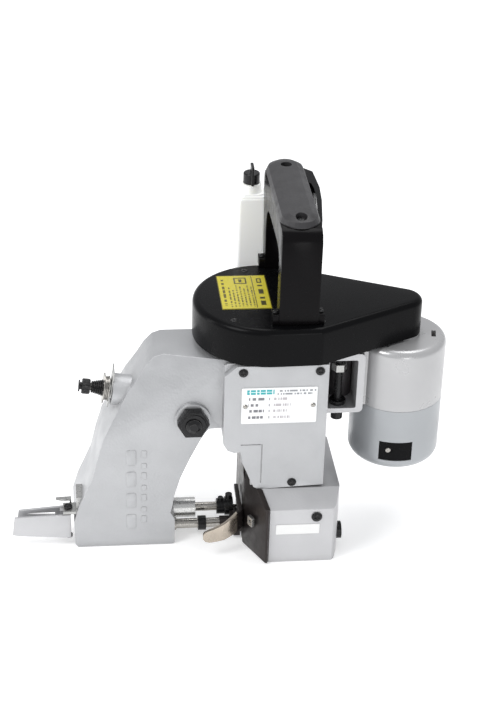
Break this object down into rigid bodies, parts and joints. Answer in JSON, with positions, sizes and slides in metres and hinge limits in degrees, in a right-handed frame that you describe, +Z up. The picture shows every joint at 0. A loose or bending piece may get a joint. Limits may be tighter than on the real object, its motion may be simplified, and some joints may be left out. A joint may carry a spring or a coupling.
{
  "type": "bag closer sewing machine",
  "caption": "Portable bag closing sewing machine: cast needle arm and column, looper base, belt cover with carrying handle, side motor, oil bottle, presser lifter and thread tension.",
  "frame": {"origin": "on the floor, on the flat base of the looper housing, under the main shaft's axis", "axes": "+X towards the motor, +Y to the back, away from the name plate, +Z up along the main shaft"},
  "size_m": [0.343, 0.1656, 0.2896],
  "materials": {
    "cast_silver": "satin silver-grey paint",
    "black_oxide": "black oxide steel",
    "white_plate": "printed white foil",
    "steel": "ground steel",
    "cast_bright": "satin light silver paint",
    "white_label": "white foil",
    "dark_steel": "dark hardened steel",
    "bright_bush": "turned bright",
    "zinc": "zinc plated",
    "motor_light": "light silver paint",
    "motor_blue": "blue-grey silver paint",
    "black_gloss": "semi-gloss black moulding",
    "copper": "varnished copper and laminations",
    "belt_rubber": "rubber",
    "yellow_label": "printed yellow foil",
    "grip_grey": "satin dark grey soft plastic",
    "bottle_white": "translucent white polyethylene",
    "bronze": "sintered bronze",
    "machined": "machined"
  },
  "bodies": {
    "frame": {"arm_casting": "cast_silver", "arm_back_cover": "cast_silver", "column_front_cover": "cast_silver", "front_cover_screws": "black_oxide", "name_plate": "white_plate", "plate_rivets": "steel", "looper_housing": "cast_bright", "housing_bolts": "black_oxide", "blank_label": "white_label", "throat_plate": "dark_steel", "throat_guide": "steel", "needle_bar_bushes": "bright_bush", "presser_bar_bush": "steel", "lever_pivot_shaft": "steel", "lever_pivot_nut": "black_oxide", "shaft_bearings": "steel", "motor_bracket": "cast_bright", "bracket_clamp_bolt": "black_oxide", "bracket_spacer": "zinc", "motor_upper_shell": "motor_light", "motor_lower_shell": "motor_blue", "brush_covers": "black_gloss", "motor_stator": "copper", "motor_bearings": "steel", "drive_belt": "belt_rubber", "belt_cover": "black_gloss", "caution_label": "yellow_label", "handle_frame": "black_gloss", "grip_cap": "grip_grey", "handle_screws": "zinc", "grip_screws": "black_oxide", "trigger_switch": "black_gloss", "cord_grommet": "belt_rubber", "oil_bottle": "bottle_white", "bottle_bracket": "black_oxide", "tension_stud": "steel", "tension_discs": "steel", "tension_spring": "steel", "thread_guides": "zinc", "lifter_bracket": "zinc", "lifter_pin": "black_oxide", "looper_bushes": "bronze"},
    "main_drive": {"main_shaft": "steel", "main_pulley": "machined"},
    "motor_spindle": {"motor_rotor": "copper", "motor_pulley": "machined"},
    "rocker": {"needle_lever": "machined"},
    "rod": {"connecting_rod": "machined"},
    "needle_carrier": {"needle_bar": "steel", "needle_clamp": "black_oxide", "needle": "steel"},
    "looper_arm": {"looper": "steel"},
    "feed_slide": {"feed_carrier": "machined"},
    "feed_teeth": {"feed_dog": "steel"},
    "presser": {"presser_bar": "steel", "presser_foot": "dark_steel"},
    "lifter": {"lifter_lever": "cast_bright"},
    "trigger": {"trigger_lever": "black_gloss"},
    "tension_adjuster": {"tension_nut": "steel"},
    "cap": {"bottle_cap": "black_oxide"}
  },
  "joints": [
    {"name": "main_shaft_turn", "type": "hinge", "parent": "frame", "child": "main_drive", "pos_m": [0, 0, 0.1], "axis": [0, 0, 1], "continuous": true},
    {"name": "motor_turn", "type": "hinge", "parent": "frame", "child": "motor_spindle", "pos_m": [0.103, -0.002, 0.1], "axis": [0, 0, 1], "continuous": true},
    {"name": "needle_lever_rock", "type": "hinge", "parent": "frame", "child": "rocker", "pos_m": [-0.062, 0, 0.118], "axis": [0, 1, 0], "range_deg": [0, 8.25]},
    {"name": "connecting_rod_swing", "type": "hinge", "parent": "rocker", "child": "rod", "pos_m": [-0.062, 0, 0.145], "axis": [0, 1, 0], "range_deg": [-8.25, 0]},
    {"name": "needle_bar_slide", "type": "slide", "parent": "frame", "child": "needle_carrier", "axis": [1, 0, 0], "range_m": [-0.01638, 0]},
    {"name": "looper_swing", "type": "hinge", "parent": "frame", "child": "looper_arm", "pos_m": [0.018, -0.008, 0.02], "axis": [0, 0, 1], "range_deg": [-10, 10]},
    {"name": "feed_press", "type": "slide", "parent": "frame", "child": "feed_slide", "axis": [1, 0, 0], "range_m": [-0.0028, 0]},
    {"name": "feed_stroke", "type": "slide", "parent": "feed_slide", "child": "feed_teeth", "axis": [0, 1, 0], "range_m": [-0.0035, 0.0035]},
    {"name": "lifter_turn", "type": "hinge", "parent": "frame", "child": "lifter", "pos_m": [-0.1595, -0.025, 0.0185], "axis": [0, 0, 1], "range_deg": [0, 18]},
    {"name": "presser_slide", "type": "slide", "parent": "frame", "child": "presser", "axis": [1, 0, 0], "range_m": [-0.0121, 0]},
    {"name": "trigger_press", "type": "hinge", "parent": "frame", "child": "trigger", "pos_m": [0.026, 0.062, 0.275], "axis": [0, 0, 1], "range_deg": [-5, 0], "stiffness_Nm_per_rad": 0.8},
    {"name": "tension_nut_turn", "type": "hinge", "parent": "frame", "child": "tension_adjuster", "pos_m": [-0.1225, -0.01, 0.132], "axis": [-0.9903, 0, 0.1392], "range_deg": [-360, 360]},
    {"name": "bottle_cap_turn", "type": "hinge", "parent": "frame", "child": "cap", "pos_m": [-0.008, 0.085, 0.26], "axis": [0, 0, 1], "range_deg": [0, 360]}
  ],
  "couplings": [
    {"joint": "motor_turn", "follows": "main_shaft_turn", "ratio": 5},
    {"joint": "connecting_rod_swing", "follows": "needle_lever_rock", "ratio": -1},
    {"joint": "needle_bar_slide", "follows": "needle_lever_rock", "m_per_rad": -0.1137},
    {"joint": "presser_slide", "follows": "lifter_turn", "m_per_rad": -0.0382}
  ]
}
